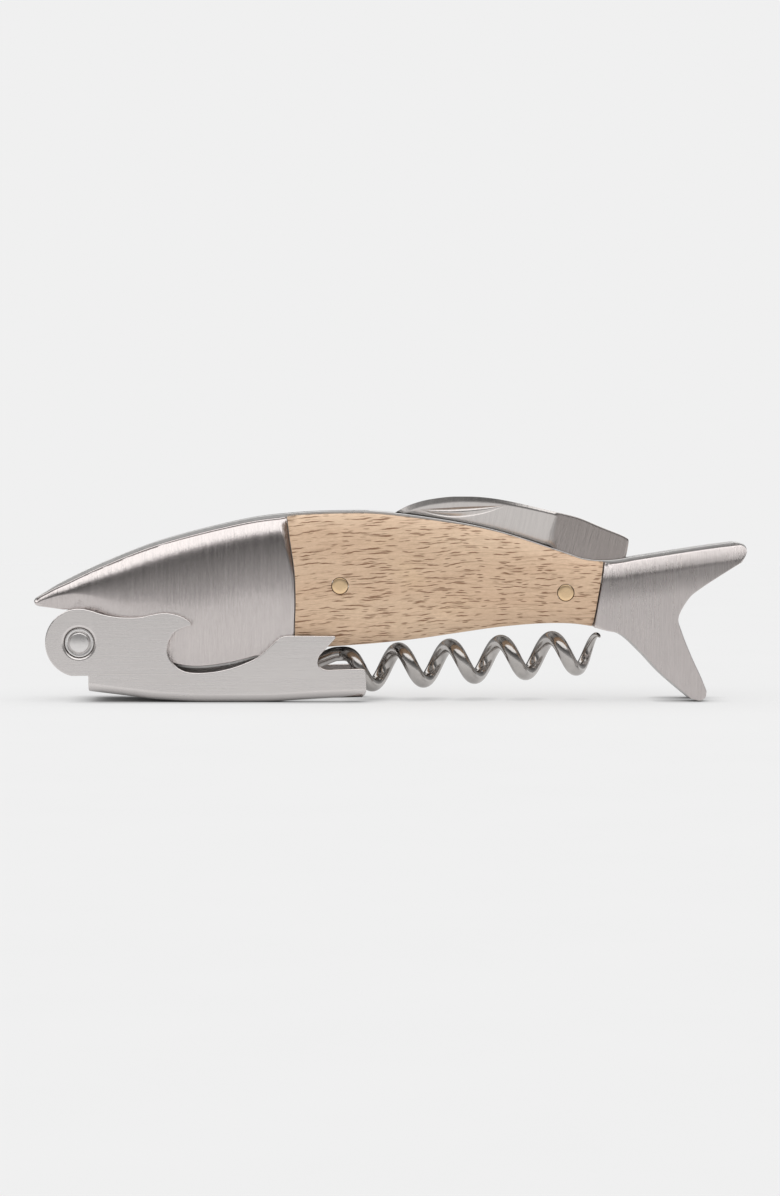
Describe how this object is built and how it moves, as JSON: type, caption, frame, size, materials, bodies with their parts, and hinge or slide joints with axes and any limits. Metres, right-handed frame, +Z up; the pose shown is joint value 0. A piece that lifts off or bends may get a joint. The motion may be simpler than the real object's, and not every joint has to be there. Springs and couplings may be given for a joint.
{
  "type": "bottle opener",
  "caption": "Fish-shaped waiter's corkscrew: folding lever with cap hook and lip claw, folding worm, foil knife as dorsal fin, wood and steel handle.",
  "frame": {"origin": "centre of the folded object's footprint, on the surface that it stands on", "axes": "+X from the fish's head to its tail, +Y across the body away from the nail nick, +Z up to the fish's back"},
  "size_m": [0.1276, 0.0154, 0.0365],
  "materials": {
    "brushed_steel": "brushed across the body, satin",
    "lever_steel": "brushed along the lever, satin",
    "blade_steel": "finely ground, satin",
    "plate_steel": "cut sheet edge, satin",
    "rivet_steel": "pressed dome, half polished",
    "worm_steel": "polished round wire",
    "light_wood": "open-pored light wood, oiled",
    "brass": "ground flush, satin"
  },
  "bodies": {
    "handle": {"liner_front": "plate_steel", "liner_back": "plate_steel", "head_spacer": "plate_steel", "head_bolster_front": "brushed_steel", "head_bolster_back": "brushed_steel", "tail_bolster_front": "brushed_steel", "tail_bolster_back": "brushed_steel", "wood_scale_front": "light_wood", "wood_scale_back": "light_wood", "brass_pin_head": "brass", "brass_pin_tail": "brass", "head_bolster_pin_snout": "plate_steel", "head_bolster_pin_neck": "plate_steel", "worm_spring": "plate_steel", "worm_spring_pin": "plate_steel", "blade_spring": "plate_steel", "blade_spring_pin": "plate_steel", "blade_pivot_pin": "plate_steel", "worm_pivot_pin": "plate_steel", "lever_washer_front": "plate_steel", "lever_washer_back": "plate_steel", "lever_rivet": "rivet_steel"},
    "lever": {"lever": "lever_steel"},
    "worm": {"worm": "worm_steel"},
    "blade": {"blade": "blade_steel"}
  },
  "joints": [
    {"name": "lever_hinge", "type": "hinge", "parent": "handle", "child": "lever", "pos_m": [-0.05566, 0, 0.01061], "axis": [0, 1, 0], "range_deg": [0, 140]},
    {"name": "worm_hinge", "type": "hinge", "parent": "handle", "child": "worm", "pos_m": [-0.017, 0, 0.007], "axis": [0, 1, 0], "range_deg": [0, 90]},
    {"name": "blade_hinge", "type": "hinge", "parent": "handle", "child": "blade", "pos_m": [0.0387, 0, 0.0215], "axis": [0, 1, 0], "range_deg": [0, 180]}
  ]
}
